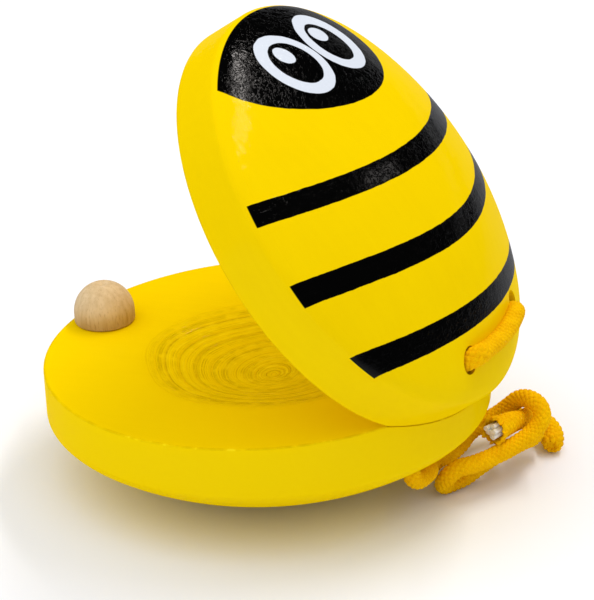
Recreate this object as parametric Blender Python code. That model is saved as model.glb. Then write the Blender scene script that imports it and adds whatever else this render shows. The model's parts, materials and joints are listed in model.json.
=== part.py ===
"""A pair of wooden castanets, held open by one knotted elastic.

Two turned clappers meet at bevelled hinge ends. The lower one lies on its dome
and on the elastic's knot and carries the knocker, the upper one stands open.
Metres, +Z up, hinge end towards +Y, origin on the floor below the middle.
"""

import math

import bmesh
import bpy
from mathutils import Matrix, Vector

MM = 0.001
DEG = math.pi / 180.0

# Clapper, turned in wood
DISC_RADIUS = 29.0 * MM
BAND_HEIGHT = 7.15 * MM
CROWN_HEIGHT = 9.5 * MM
CROWN_SHARE = 0.897
ARRIS_RADIUS = 1.2 * MM
RIM_EDGE = 0.35 * MM
FACE_TILT = 1.34 * DEG
DISH_RADIUS = 17.0 * MM
DISH_DEPTH = 2.2 * MM
DISH_OFFSET = 0.5 * MM

# Hinge end, cut to a bevel on each clapper
RIDGE_INSET = 6.52 * MM
RIDGE_OFFSET = DISC_RADIUS - RIDGE_INSET
OPEN_ANGLE = 55.8 * DEG
REST_PITCH = 3.94 * DEG
SEAT_GAP = 0.3 * MM

# Holes for the elastic
HOLE_DIAMETER = 3.3 * MM
HOLE_SPACING = 19.0 * MM
HOLE_SETBACK = 0.02 * MM
HOLE_OFFSET = RIDGE_OFFSET + HOLE_SETBACK

# Knocker, a wooden plug with a half-round head, glued into a blind socket
KNOCKER_DIAMETER = 8.0 * MM
KNOCKER_HEIGHT = 5.4 * MM
KNOCKER_SIDE = -5.25 * MM
KNOCKER_INSET = 4.8 * MM
KNOCKER_OFFSET = KNOCKER_INSET - DISC_RADIUS
KNOCKER_FOOT_EDGE = 0.25 * MM
TENON_DIAMETER = 4.0 * MM
TENON_LENGTH = 4.0 * MM
SOCKET_DEPTH = TENON_LENGTH + SEAT_GAP

# Elastic, one knotted length
ELASTIC_DIAMETER = 2.5 * MM
ELASTIC_END_INSET = 1.3 * MM
LOOP_LIFT = 0.3 * MM
LOOP_CROWN = 0.7 * MM
LOOP_STEP = 2.2 * MM
TAIL_STEP = 1.5 * MM
OTHER_TURN_SHARE = 2.6

# The outer loop's bend at a hole: inward and outward as shares of the loop's
# height over the dome, and sideways as shares of the loop's crown
LOOP_BEND_SHARES = [
    (0.05, 0.0, 0.0),
    (0.2, 0.0, 0.7),
    (0.9, 0.2, 1.27),
]
LOOP_QUARTER_SHARES = (0.7, 1.08)
LOOP_TOP_SHARE = 1.15

# Free stretches of the elastic below the hinge, points chosen by hand in
# millimetres from the origin
NEAR_TAIL_POINTS = [
    (9.3, 20.4, 6.7),
    (8.1, 20.8, 5.7),
    (5.8, 21.1, 5.4),
    (3.8, 20.9, 5.0),
    (2.0, 20.4, 4.6),
    (-0.3, 20.7, 4.6),
    (-2.2, 21.4, 4.4),
    (-4.0, 21.9, 4.5),
    (-5.5, 22.3, 4.8),
    (-7.2, 22.5, 5.2),
    (-8.9, 23.1, 5.5),
    (-10.7, 24.0, 5.8),
    (-12.0, 25.2, 6.3),
    (-12.6, 26.5, 7.4),
    (-12.4, 27.9, 8.8),
    (-11.4, 29.8, 9.6),
    (-10.4, 31.4, 9.3),
    (-9.7, 32.0, 8.3),
    (-8.7, 31.6, 7.0),
    (-5.6, 29.7, 5.7),
    (-2.3, 27.6, 5.2),
    (0.7, 25.6, 5.1),
    (1.5, 24.3, 4.9),
    (1.8, 23.5, 4.3),
    (1.8, 22.7, 3.3),
    (1.4, 22.1, 2.1),
    (0.3, 22.1, 1.45),
    (-1.0, 22.8, 1.4),
    (-2.7, 23.8, 1.5),
    (-4.6, 25.0, 2.2),
    (-6.6, 26.8, 3.3),
    (-8.9, 28.4, 3.7),
    (-10.7, 29.3, 3.8),
    (-12.8, 29.8, 3.4),
    (-14.4, 29.8, 3.7),
    (-15.0, 29.4, 4.6),
    (-14.6, 29.0, 5.6),
    (-12.8, 29.1, 6.3),
    (-10.5, 28.9, 6.9),
    (-8.1, 28.4, 7.6),
    (-6.1, 27.8, 7.9),
    (-3.9, 27.0, 8.0),
]
FAR_TAIL_POINTS = [
    (-9.7, 20.6, 5.9),
    (-11.9, 20.9, 4.3),
    (-14.4, 21.9, 3.6),
    (-16.4, 23.5, 3.4),
    (-17.9, 25.5, 3.1),
    (-18.8, 27.6, 2.9),
    (-18.6, 29.5, 2.7),
    (-17.5, 30.9, 2.2),
    (-16.1, 31.6, 1.7),
    (-14.8, 31.7, 1.35),
]


# Counts for the faceted surfaces
DISC_SEGMENTS = 72
CROWN_RINGS = 13
ARRIS_STEPS = 3
KNOCKER_SEGMENTS = 40
KNOCKER_RINGS = 8
HOLE_SEGMENTS = 20
DISH_SEGMENTS = 36
DISH_RINGS = 4
ROUTE_STEPS = 12
CUT_OVERRUN = 2.0 * MM
MERGE_DISTANCE = 0.01 * MM
SHARP_ANGLE = 30.0 * DEG


def clear_scene():
    for item in list(bpy.data.objects):
        bpy.data.objects.remove(item, do_unlink=True)


def material(name, color, roughness):
    mat = bpy.data.materials.new(name)
    mat.use_nodes = True
    shader = mat.node_tree.nodes["Principled BSDF"]
    shader.inputs["Base Color"].default_value = color
    shader.inputs["Roughness"].default_value = roughness
    shader.inputs["Metallic"].default_value = 0.0
    return mat


def add_object(name, data, parent, place=(0.0, 0.0, 0.0), turn=(0.0, 0.0, 0.0)):
    item = bpy.data.objects.new(name, data)
    bpy.context.collection.objects.link(item)
    item.parent = parent
    item.location = place
    item.rotation_euler = turn
    return item


def crown_height(radius):
    share = min(radius / DISC_RADIUS, 1.0)
    return BAND_HEIGHT + CROWN_HEIGHT * (1.0 - share * share) ** CROWN_SHARE


def dome_height(x, y):
    """Height of the tilted dome over the clapper's flat face."""
    return crown_height(math.hypot(x, y)) + math.tan(FACE_TILT) * y


def spun(profile, segments):
    """Turn a profile of (radius, height) points, axis end to axis end."""
    mesh = bmesh.new()
    points = [mesh.verts.new((radius, 0.0, height)) for radius, height in profile]
    edges = [mesh.edges.new(pair) for pair in zip(points, points[1:])]
    bmesh.ops.spin(
        mesh,
        geom=points + edges,
        cent=(0.0, 0.0, 0.0),
        axis=(0.0, 0.0, 1.0),
        angle=2.0 * math.pi,
        steps=segments,
        use_merge=True,
    )
    bmesh.ops.remove_doubles(mesh, verts=mesh.verts, dist=MERGE_DISTANCE)
    bmesh.ops.recalc_face_normals(mesh, faces=mesh.faces)
    return mesh


def arris_arc(start, corner, end, steps):
    """Round a profile corner with a curve from start to end."""
    points = []
    for index in range(steps + 1):
        share = index / steps
        first = Vector(start).lerp(Vector(corner), share)
        second = Vector(corner).lerp(Vector(end), share)
        points.append(tuple(first.lerp(second, share)))
    return points


def clapper_profile():
    """Half section from below the face, up the band and over the crown."""
    foot = -(math.tan(FACE_TILT) * DISC_RADIUS + CUT_OVERRUN)
    inner = DISC_RADIUS - ARRIS_RADIUS
    band_top = (DISC_RADIUS, BAND_HEIGHT - ARRIS_RADIUS / 2.0)
    corner = (DISC_RADIUS, BAND_HEIGHT)
    rise = (inner, crown_height(inner))
    profile = [(0.0, foot), (DISC_RADIUS, foot)]
    profile += arris_arc(band_top, corner, rise, ARRIS_STEPS)
    for ring in range(1, CROWN_RINGS + 1):
        angle = math.pi / 2.0 * ring / CROWN_RINGS
        radius = inner * math.cos(angle)
        if ring == CROWN_RINGS:
            radius = 0.0
        profile.append((radius, crown_height(radius)))
    return profile


def plane_cut(mesh, point, normal):
    """Cut away what lies beyond a plane and close the face."""
    cut = bmesh.ops.bisect_plane(
        mesh,
        geom=mesh.verts[:] + mesh.edges[:] + mesh.faces[:],
        plane_co=point,
        plane_no=normal,
        clear_outer=True,
    )
    edges = [item for item in cut["geom_cut"] if isinstance(item, bmesh.types.BMEdge)]
    bmesh.ops.contextual_create(mesh, geom=edges)


def clapper_mesh():
    """Clapper in its own frame: flat face at zero, dome up, hinge end at +Y."""
    mesh = spun(clapper_profile(), DISC_SEGMENTS)
    bmesh.ops.rotate(mesh, verts=mesh.verts, matrix=Matrix.Rotation(FACE_TILT, 3, "X"))
    plane_cut(mesh, (0.0, 0.0, 0.0), (0.0, 0.0, -1.0))
    bevel = OPEN_ANGLE / 2.0
    normal = Vector((0.0, math.sin(bevel), -math.cos(bevel)))
    ridge = Vector((0.0, RIDGE_OFFSET, 0.0))
    plane_cut(mesh, ridge - normal * SEAT_GAP / 2.0, normal)
    rim = [
        edge
        for edge in mesh.edges
        if edge.is_manifold and edge.calc_face_angle() > OPEN_ANGLE
    ]
    bmesh.ops.bevel(mesh, geom=rim, offset=RIM_EDGE, segments=1, affect="EDGES")
    bmesh.ops.recalc_face_normals(mesh, faces=mesh.faces)
    return as_mesh(mesh, "clapper")


def as_mesh(mesh, name):
    data = bpy.data.meshes.new(name)
    mesh.to_mesh(data)
    mesh.free()
    data.shade_smooth()
    data.set_sharp_from_angle(angle=SHARP_ANGLE)
    return data


def cutter(name, mesh, parent, place, target):
    item = add_object(name, as_mesh(mesh, name), parent, place)
    item.hide_render = True
    item.display_type = "WIRE"
    cut = target.modifiers.new(name, "BOOLEAN")
    cut.operation = "DIFFERENCE"
    cut.solver = "EXACT"
    cut.object = item


def rod_mesh(radius, foot, top, segments):
    return spun([(0.0, foot), (radius, foot), (radius, top), (0.0, top)], segments)


def dish_mesh():
    """Shallow round hollow, the cap of a large ball."""
    ball = (DISH_RADIUS**2 + DISH_DEPTH**2) / (2.0 * DISH_DEPTH)
    centre = DISH_DEPTH - ball
    profile = [(0.0, DISH_DEPTH)]
    half = math.asin(DISH_RADIUS / ball)
    for ring in range(1, DISH_RINGS + 1):
        angle = half * ring / DISH_RINGS
        profile.append((ball * math.sin(angle), centre + ball * math.cos(angle)))
    profile.append((DISH_RADIUS, -CUT_OVERRUN))
    profile.append((0.0, -CUT_OVERRUN))
    return spun(profile, DISH_SEGMENTS)


def make_clapper(name, parent, place, turn, paint):
    item = add_object(name, clapper_mesh(), parent, place, turn)
    item.data.materials.append(paint)
    cutter(name + "_dish", dish_mesh(), item, (0.0, DISH_OFFSET, 0.0), item)
    top = BAND_HEIGHT + CROWN_HEIGHT + CUT_OVERRUN
    for label, side in (("_hole_near", 1.0), ("_hole_far", -1.0)):
        hole = rod_mesh(HOLE_DIAMETER / 2.0, -CUT_OVERRUN, top, HOLE_SEGMENTS)
        place = (side * HOLE_SPACING / 2.0, HOLE_OFFSET, 0.0)
        cutter(name + label, hole, item, place, item)
    return item


def knocker_mesh():
    """Plug with a tenon, a short waist and a half-round head."""
    head = KNOCKER_DIAMETER / 2.0
    tenon = TENON_DIAMETER / 2.0
    waist = KNOCKER_HEIGHT - head
    foot = SEAT_GAP
    profile = [(0.0, -TENON_LENGTH), (tenon, -TENON_LENGTH), (tenon, foot)]
    profile.append((head - KNOCKER_FOOT_EDGE, foot))
    profile.append((head, foot + KNOCKER_FOOT_EDGE))
    profile.append((head, waist))
    for ring in range(1, KNOCKER_RINGS + 1):
        angle = math.pi / 2.0 * ring / KNOCKER_RINGS
        radius = head * math.cos(angle)
        if ring == KNOCKER_RINGS:
            radius = 0.0
        profile.append((radius, waist + head * math.sin(angle)))
    return as_mesh(spun(profile, KNOCKER_SEGMENTS), "knocker")


def smooth_route(points):
    """Fine points of a rounded curve through the given ones."""
    ends = [points[0] * 2.0 - points[1]] + points + [points[-1] * 2.0 - points[-2]]
    fine = []
    for a, b, c, d in zip(ends, ends[1:], ends[2:], ends[3:]):
        t1 = math.sqrt((b - a).length)
        t2 = t1 + math.sqrt((c - b).length)
        t3 = t2 + math.sqrt((d - c).length)
        for index in range(ROUTE_STEPS):
            t = t1 + (t2 - t1) * index / ROUTE_STEPS
            ab = a.lerp(b, t / t1)
            bc = b.lerp(c, (t - t1) / (t2 - t1))
            cd = c.lerp(d, (t - t2) / (t3 - t2))
            abc = ab.lerp(bc, t / t2)
            bcd = bc.lerp(cd, (t - t1) / (t3 - t1))
            fine.append(abc.lerp(bcd, (t - t1) / (t2 - t1)))
    fine.append(points[-1])
    return fine


def even_route(points, step):
    """The same curve in steps of equal length."""
    fine = smooth_route(points)
    lengths = [0.0]
    for first, second in zip(fine, fine[1:]):
        lengths.append(lengths[-1] + (second - first).length)
    count = max(2, round(lengths[-1] / step))
    route = []
    place = 0
    for index in range(count):
        goal = lengths[-1] * index / count
        while lengths[place + 1] < goal:
            place += 1
        share = (goal - lengths[place]) / (lengths[place + 1] - lengths[place])
        route.append(fine[place].lerp(fine[place + 1], share))
    route.append(fine[-1])
    return route


def elastic(name, route, parent, textile):
    data = bpy.data.curves.new(name, "CURVE")
    data.dimensions = "3D"
    data.bevel_depth = ELASTIC_DIAMETER / 2.0
    data.bevel_resolution = 2
    data.use_fill_caps = True
    spline = data.splines.new("POLY")
    spline.points.add(len(route) - 1)
    for target, point in zip(spline.points, route):
        target.co = (point.x, point.y, point.z, 1.0)
    spline.use_smooth = True
    data.materials.append(textile)
    return add_object(name, data, parent)


def loop_route():
    """Up the near hole, across the dome and down the far hole."""
    side = HOLE_SPACING / 2.0
    off = ELASTIC_DIAMETER / 2.0 + LOOP_LIFT
    mouth = dome_height(side, HOLE_OFFSET)
    top = dome_height(0.0, HOLE_OFFSET + LOOP_CROWN)
    half = [
        Vector((side, HOLE_OFFSET, ELASTIC_END_INSET)),
        Vector((side, HOLE_OFFSET, ELASTIC_END_INSET + ELASTIC_DIAMETER)),
        Vector((side, HOLE_OFFSET, mouth - ELASTIC_DIAMETER / 2.0)),
    ]
    for inward, sideways, outward in LOOP_BEND_SHARES:
        y = HOLE_OFFSET + LOOP_CROWN * sideways
        half.append(Vector((side - off * inward, y, mouth + off * outward)))
    sideways, outward = LOOP_QUARTER_SHARES
    y = HOLE_OFFSET + LOOP_CROWN * sideways
    half.append(Vector((side / 2.0, y, top + off * outward)))
    middle = [Vector((0.0, HOLE_OFFSET + LOOP_CROWN, top + off * LOOP_TOP_SHARE))]
    return half + middle + [Vector((-p.x, p.y, p.z)) for p in reversed(half)]


def tail_route(side, points, lower):
    """Down the hole of the lower clapper, then along the chosen points."""
    x = side * HOLE_SPACING / 2.0
    mouth = dome_height(x, HOLE_OFFSET)
    inside = [
        Vector((-x, HOLE_OFFSET, ELASTIC_END_INSET)),
        Vector((-x, HOLE_OFFSET, ELASTIC_END_INSET + ELASTIC_DIAMETER)),
        Vector((-x, HOLE_OFFSET, mouth - ELASTIC_DIAMETER)),
    ]
    route = [lower.matrix_world @ point for point in inside]
    return route + [Vector(point) * MM for point in points]


def least_gap(route):
    """Least free distance of a tube to another turn of itself."""
    apart = OTHER_TURN_SHARE * ELASTIC_DIAMETER
    least = math.inf
    travel = [0.0]
    for first, second in zip(route, route[1:]):
        travel.append(travel[-1] + (second - first).length)
    for i, first in enumerate(route):
        for j in range(i + 1, len(route)):
            if travel[j] - travel[i] > apart:
                least = min(least, (first - route[j]).length)
    return least - ELASTIC_DIAMETER


def world_box(items):
    graph = bpy.context.evaluated_depsgraph_get()
    corners = []
    for item in items:
        shape = item.evaluated_get(graph)
        mesh = shape.to_mesh()
        corners += [item.matrix_world @ vertex.co for vertex in mesh.vertices]
        shape.to_mesh_clear()
    low = Vector([min(c[axis] for c in corners) for axis in range(3)])
    high = Vector([max(c[axis] for c in corners) for axis in range(3)])
    return low, high


def build():
    clear_scene()
    paint = material("yellow_paint", (0.86, 0.62, 0.01, 1.0), 0.22)
    wood = material("natural_wood", (0.60, 0.40, 0.20, 1.0), 0.55)
    textile = material("elastic_textile", (0.75, 0.36, 0.02, 1.0), 0.85)

    # Frames: the lower clapper's face, and the ridge that the upper one turns on
    rest = add_object("rest_frame", None, None, turn=(REST_PITCH, 0.0, 0.0))
    hinge = add_object(
        "hinge_axis", None, rest, (0.0, RIDGE_OFFSET, 0.0), (-OPEN_ANGLE, 0.0, 0.0)
    )

    lower = make_clapper("lower_clapper", rest, (0.0, 0.0, 0.0), (0.0, math.pi, 0.0), paint)
    upper = make_clapper(
        "upper_clapper", hinge, (0.0, -RIDGE_OFFSET, 0.0), (0.0, 0.0, 0.0), paint
    )

    knocker = add_object("knocker", knocker_mesh(), rest, (KNOCKER_SIDE, KNOCKER_OFFSET, 0.0))
    knocker.data.materials.append(wood)
    socket = rod_mesh(
        TENON_DIAMETER / 2.0 + SEAT_GAP, -CUT_OVERRUN, SOCKET_DEPTH, KNOCKER_SEGMENTS
    )
    place = (-KNOCKER_SIDE, KNOCKER_OFFSET, 0.0)
    cutter("lower_clapper_socket", socket, lower, place, lower)

    loop = elastic("elastic_loop", even_route(loop_route(), LOOP_STEP), upper, textile)

    # Stand the pair on the floor, its outline centred over the origin
    bpy.context.view_layer.update()
    low, high = world_box([lower, upper, knocker, loop])
    rest.location = (0.0, -(low.y + high.y) / 2.0, -low.z)
    bpy.context.view_layer.update()

    near = even_route(tail_route(1.0, NEAR_TAIL_POINTS, lower), TAIL_STEP)
    far = even_route(tail_route(-1.0, FAR_TAIL_POINTS, lower), TAIL_STEP)
    elastic("elastic_tail_near", near, None, textile)
    elastic("elastic_tail_far", far, None, textile)
    print("least gap of the far tail to itself, mm:", round(least_gap(far) / MM, 2))
    print("least gap of the near tail to itself, mm:", round(least_gap(near) / MM, 2))


build()
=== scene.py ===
"""Painted wooden castanets, open on a pale floor, dressed over their solid model.

Sizes are in metres, unless a comment says millimetres. FACE is the frame of the lower
clapper's flat face. LOWER and UPPER are the frames in which the clappers were turned.
"""

import json
import math

import bmesh
import bpy
import numpy as np
from mathutils import Matrix, Vector


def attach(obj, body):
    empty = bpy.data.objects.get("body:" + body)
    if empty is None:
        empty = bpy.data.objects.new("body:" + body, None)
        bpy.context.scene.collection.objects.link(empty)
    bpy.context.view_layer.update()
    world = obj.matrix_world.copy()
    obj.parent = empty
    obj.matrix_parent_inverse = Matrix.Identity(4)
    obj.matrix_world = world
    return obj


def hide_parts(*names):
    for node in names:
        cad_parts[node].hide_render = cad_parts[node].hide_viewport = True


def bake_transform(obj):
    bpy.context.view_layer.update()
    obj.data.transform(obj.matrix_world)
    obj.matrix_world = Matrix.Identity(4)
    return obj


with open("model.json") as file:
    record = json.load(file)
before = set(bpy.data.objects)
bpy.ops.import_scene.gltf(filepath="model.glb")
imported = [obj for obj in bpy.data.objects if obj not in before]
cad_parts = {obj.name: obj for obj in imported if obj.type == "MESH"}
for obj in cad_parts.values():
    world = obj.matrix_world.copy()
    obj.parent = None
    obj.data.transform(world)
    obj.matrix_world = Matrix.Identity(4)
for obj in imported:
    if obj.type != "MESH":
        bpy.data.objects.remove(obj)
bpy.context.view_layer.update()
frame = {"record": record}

MM = 0.001
DEG = math.pi / 180.0
TURN = 2.0 * math.pi
QUARTER = math.pi / 2.0

# Clappers, as in the model
DISC_RADIUS = 29.0 * MM
BAND_HEIGHT = 7.15 * MM
CROWN_HEIGHT = 9.5 * MM
CROWN_SHARE = 0.897
ARRIS_RADIUS = 1.2 * MM
RIM_EDGE = 0.22 * MM
FACE_TILT = 1.34 * DEG
DISH_RADIUS = 17.6 * MM
DISH_DEPTH = 2.1 * MM
DISH_SHARE = 1.6
DISH_OFFSET = 0.5 * MM
RIDGE_OFFSET = DISC_RADIUS - 6.52 * MM
OPEN_ANGLE = 55.8 * DEG
REST_PITCH = 3.94 * DEG
SEAT_GAP = 0.2 * MM
HOLE_DIAMETER = 3.3 * MM
HOLE_SPACING = 19.0 * MM
HOLE_OFFSET = RIDGE_OFFSET + 0.02 * MM
DRILL_DEPTH = 60.0 * MM

# How far the drill wandered inwards at the upper clapper's far mouth
DRILL_WANDER = 1.85 * MM

# Growth rings that stand under the paint of the hollow
RING_HEART = (2.3 * MM, 1.8 * MM)
RING_REACH = 17.0 * MM
RING_RELIEF = 0.05 * MM
RING_SLENDER = 0.75

# Their unevenness, in millimetres and per millimetre
SLENDER_RANGE = (1.0, 15.0)
WAVER_RANGE = (0.5, 8.0)
WAVER_HEIGHT = 0.25
WAVER_RATE = 0.35
WAVER_PHASES = (0.8, 1.9)
RIPPLE_HEIGHT = 0.04
RIPPLE_RATES = ((1.3, 0.9), (1.4, 0.7))
RING_FADE = (RING_REACH / MM, RING_REACH / MM - 1.5)

# Each ring's size and half width in millimetres, and its depth share
RINGS = [
    (0.85, 0.2, 1.0),
    (1.45, 0.16, 0.7),
    (2.2, 0.2, 0.8),
    (3.5, 0.22, 0.7),
    (4.6, 0.2, 0.4),
    (6.1, 0.22, 0.45),
    (7.6, 0.3, 0.5),
    (9.7, 0.45, 0.9),
    (10.8, 0.25, 0.5),
    (11.85, 0.45, 1.0),
    (13.7, 0.5, 1.0),
    (15.0, 0.25, 0.6),
    (16.2, 0.25, 0.6),
]

# Knocker
KNOCKER_RADIUS = 4.0 * MM
KNOCKER_HEIGHT = 5.4 * MM
KNOCKER_PLACE = Vector((-5.25 * MM, 4.8 * MM - DISC_RADIUS, 0.0))
KNOCKER_FOOT = 0.02 * MM
KNOCKER_EDGE = 0.32 * MM
DIMPLE_DEPTH = 0.35 * MM
DIMPLE_RADIUS = 0.7 * MM
KNOCKER_EDGE_RINGS = 6
KNOCKER_WALL_RINGS = 3
KNOCKER_CROWN_RINGS = 60
KNOCKER_SEGMENTS = 128

# Elastic
ELASTIC_DIAMETER = 2.5 * MM
END_INSET = 1.3 * MM
BRAID_STRANDS = 8
BRAID_PITCH = 6.2 * MM
STRAND_WIDTH = 0.38 * MM
STRAND_HEIGHT = 0.24 * MM
BRAID_WAVE = 0.13 * MM
STRAND_CORNERS = 6
CORE_CORNERS = 16

# Swells of the braid: reach and share of its thickness, and for the loop also the place
MOUTH_SWELL = (10.2 * MM, 2.6 * MM, 0.2)
NEAR_SWELLS = [(8.0 * MM, 0.5), (1.5 * MM, 0.5)]
FAR_SWELLS = [(9.0 * MM, 0.34)]

# Cut ends: the near one frays and slants, the far one closes
NEAR_FRAY = 0.45 * MM
NEAR_SLANT = 0.3 * MM
CUT_SIDE = (0.8, 0.2, 0.56)
CUT_TURN = 0.5
FAR_CLOSING = 0.45
CLOSING_REACH = 0.7 * MM

# White rubber threads in the near end
OUTER_THREADS = 6
THREAD_START = 0.3
THREAD_RING = 0.7 * MM
THREAD_DEPTH = 2.6 * MM
THREAD_REACH = 0.35 * MM
THREAD_STRAY = 0.05 * MM
THREAD_SPREAD = 0.3 * MM
THREAD_LEAN = 0.1 * MM
THREAD_RADII = (0.32 * MM, 0.38 * MM)
THREAD_STEPS = 9
THREAD_CORNERS = 12

# Outer stretch over the dome, in the upper clapper's frame and in millimetres
LOOP_POINTS = [
    (9.5, 22.5, 1.3),
    (9.5, 22.5, 4.5),
    (9.35, 22.5, 8.0),
    (9.35, 22.45, 10.3),
    (9.25, 22.5, 11.5),
    (8.7, 22.65, 12.05),
    (7.4, 22.85, 12.2),
    (4.5, 23.25, 12.4),
    (1.4, 23.45, 12.5),
    (-1.65, 23.45, 12.5),
    (-3.9, 23.25, 12.4),
    (-5.4, 23.2, 12.05),
    (-6.5, 23.15, 11.3),
    (-7.2, 23.0, 10.2),
    (-7.65, 22.8, 8.8),
    (-8.5, 22.55, 5.5),
    (-9.5, 22.5, 1.3),
]

# Free stretches of the elastic, the model's own points in millimetres
NEAR_TAIL_POINTS = [
    (9.3, 20.4, 6.7),
    (8.1, 20.8, 5.7),
    (5.8, 21.1, 5.4),
    (3.8, 20.9, 5.0),
    (2.0, 20.4, 4.6),
    (-0.3, 20.7, 4.6),
    (-2.2, 21.4, 4.4),
    (-4.0, 21.9, 4.5),
    (-5.5, 22.3, 4.8),
    (-7.2, 22.5, 5.2),
    (-8.9, 23.1, 5.5),
    (-10.7, 24.0, 5.8),
    (-12.0, 25.2, 6.3),
    (-12.6, 26.5, 7.4),
    (-12.4, 27.9, 8.8),
    (-11.4, 29.8, 9.6),
    (-10.4, 31.4, 9.3),
    (-9.7, 32.0, 8.3),
    (-8.7, 31.6, 7.0),
    (-5.6, 29.7, 5.7),
    (-2.3, 27.6, 5.2),
    (0.7, 25.6, 5.1),
    (1.5, 24.3, 4.9),
    (1.8, 23.5, 4.3),
    (1.8, 22.7, 3.3),
    (1.4, 22.1, 2.1),
    (0.3, 22.1, 1.45),
    (-1.0, 22.8, 1.4),
    (-2.7, 23.8, 1.5),
    (-4.6, 25.0, 2.2),
    (-6.6, 26.8, 3.3),
    (-8.9, 28.4, 3.7),
    (-10.7, 29.3, 3.8),
    (-12.8, 29.8, 3.4),
    (-14.4, 29.8, 3.7),
    (-15.0, 29.4, 4.6),
    (-14.6, 29.0, 5.6),
    (-12.8, 29.1, 6.3),
    (-10.5, 28.9, 6.9),
    (-8.1, 28.4, 7.6),
    (-6.1, 27.8, 7.9),
    (-3.9, 27.0, 8.0),
]
FAR_TAIL_POINTS = [
    (-9.7, 20.6, 5.9),
    (-11.9, 20.9, 4.3),
    (-14.4, 21.9, 3.6),
    (-16.4, 23.5, 3.4),
    (-17.9, 25.5, 3.1),
    (-18.8, 27.6, 2.9),
    (-18.6, 29.5, 2.7),
    (-17.5, 30.9, 2.2),
    (-16.1, 31.6, 1.7),
    (-14.8, 31.7, 1.35),
]

# Camera, at the photograph's angle
CAMERA_BACK = Vector((0.85082, 0.28931, 0.43866))
CAMERA_TARGET = Vector((-4.101, 0.131, 22.69)) * MM
CAMERA_DISTANCE = 1000.0 * MM
CAMERA_LENS = 461.1
CAMERA_SENSOR = 36.0
CAMERA_CLIP = 20.0

hinge = Vector(frame["record"]["behaviour"]["joints"][0]["pos_m"])
FACE = (
    Matrix.Translation(hinge)
    @ Matrix.Rotation(REST_PITCH, 4, "X")
    @ Matrix.Translation((0.0, -RIDGE_OFFSET, 0.0))
)
KNOCKER_FRAME = FACE @ Matrix.Translation(KNOCKER_PLACE)
LOWER = FACE @ Matrix.Rotation(math.pi, 4, "Y")
UPPER = (
    Matrix.Translation(hinge)
    @ Matrix.Rotation(REST_PITCH - OPEN_ANGLE, 4, "X")
    @ Matrix.Translation((0.0, -RIDGE_OFFSET, 0.0))
)


# Shader helpers

NOISE_MIDDLE = 0.5


class Field:
    """A number that varies over a surface, made of Math nodes."""

    def __init__(self, tree, socket):
        self.tree = tree
        self.socket = socket

    def run(self, operation, *values, clamp=False):
        """The result of one operation on this number and the values."""
        node = self.tree.nodes.new("ShaderNodeMath")
        node.operation = operation
        node.use_clamp = clamp
        for slot, value in zip(node.inputs, (self,) + values):
            if isinstance(value, Field):
                self.tree.links.new(value.socket, slot)
            else:
                slot.default_value = value
        return Field(self.tree, node.outputs[0])

    def __add__(self, other):
        return self.run("ADD", other)

    def __sub__(self, other):
        return self.run("SUBTRACT", other)

    def __mul__(self, other):
        return self.run("MULTIPLY", other)

    def __truediv__(self, other):
        return self.run("DIVIDE", other)

    def clamped(self):
        return self.run("ADD", 0.0, clamp=True)

    def swing(self):
        """How far a noise lies from its middle."""
        return self.run("SUBTRACT", NOISE_MIDDLE)

    def smooth(self, low, high):
        """Rounded step from 0 at low to 1 at high."""
        node = self.tree.nodes.new("ShaderNodeMapRange")
        node.interpolation_type = "SMOOTHSTEP"
        self.tree.links.new(self.socket, node.inputs["Value"])
        node.inputs["From Min"].default_value = low
        node.inputs["From Max"].default_value = high
        return Field(self.tree, node.outputs[0])


def smooth_step(value, low, high):
    """The same rounded step for a Field and for an array."""
    if isinstance(value, Field):
        return value.smooth(low, high)
    share = np.clip((value - low) / (high - low), 0.0, 1.0)
    return share * share * (3.0 - 2.0 * share)


def root(value):
    return value.run("SQRT") if isinstance(value, Field) else np.sqrt(value)


def sine(value):
    return value.run("SINE") if isinstance(value, Field) else np.sin(value)


def size_of(value):
    return value.run("ABSOLUTE") if isinstance(value, Field) else np.abs(value)


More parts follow.
